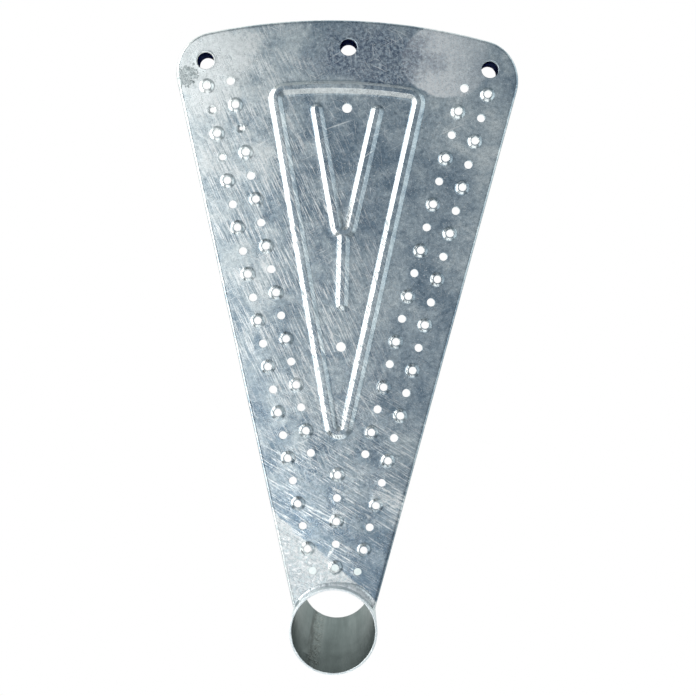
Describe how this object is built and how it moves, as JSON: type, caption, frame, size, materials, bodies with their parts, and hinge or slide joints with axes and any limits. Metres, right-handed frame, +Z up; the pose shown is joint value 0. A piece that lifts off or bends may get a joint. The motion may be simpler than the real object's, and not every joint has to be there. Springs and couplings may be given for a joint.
{
  "type": "spiral stair tread",
  "caption": "Wedge-shaped pressed steel stair tread with a sleeve at its narrow end, raised anti-slip dimples, drain holes, stiffening ribs and bushed baluster holes at its outer edge.",
  "frame": {"origin": "on the sleeve's axis, at the height of the flat walking surface", "axes": "+Z up along the sleeve's axis, out of the walking surface; +Y from the sleeve to the rounded outer edge; +X to the right"},
  "size_m": [0.3398, 0.6534, 0.167],
  "materials": {
    "plate": "hot-dip galvanised, cloudy blue-grey",
    "tube": "hot-dip galvanised",
    "bush": "hot-dip galvanised",
    "weld": "galvanised weld bead"
  },
  "bodies": {
    "root": {"tread_plate": "plate", "hub_tube": "tube", "baluster_bush_left": "bush", "baluster_bush_middle": "bush", "baluster_bush_right": "bush", "hub_weld_top": "weld", "hub_weld_under": "weld", "flange_weld_left": "weld", "flange_weld_right": "weld", "bush_weld_left": "weld", "bush_weld_middle": "weld", "bush_weld_right": "weld"}
  },
  "joints": []
}
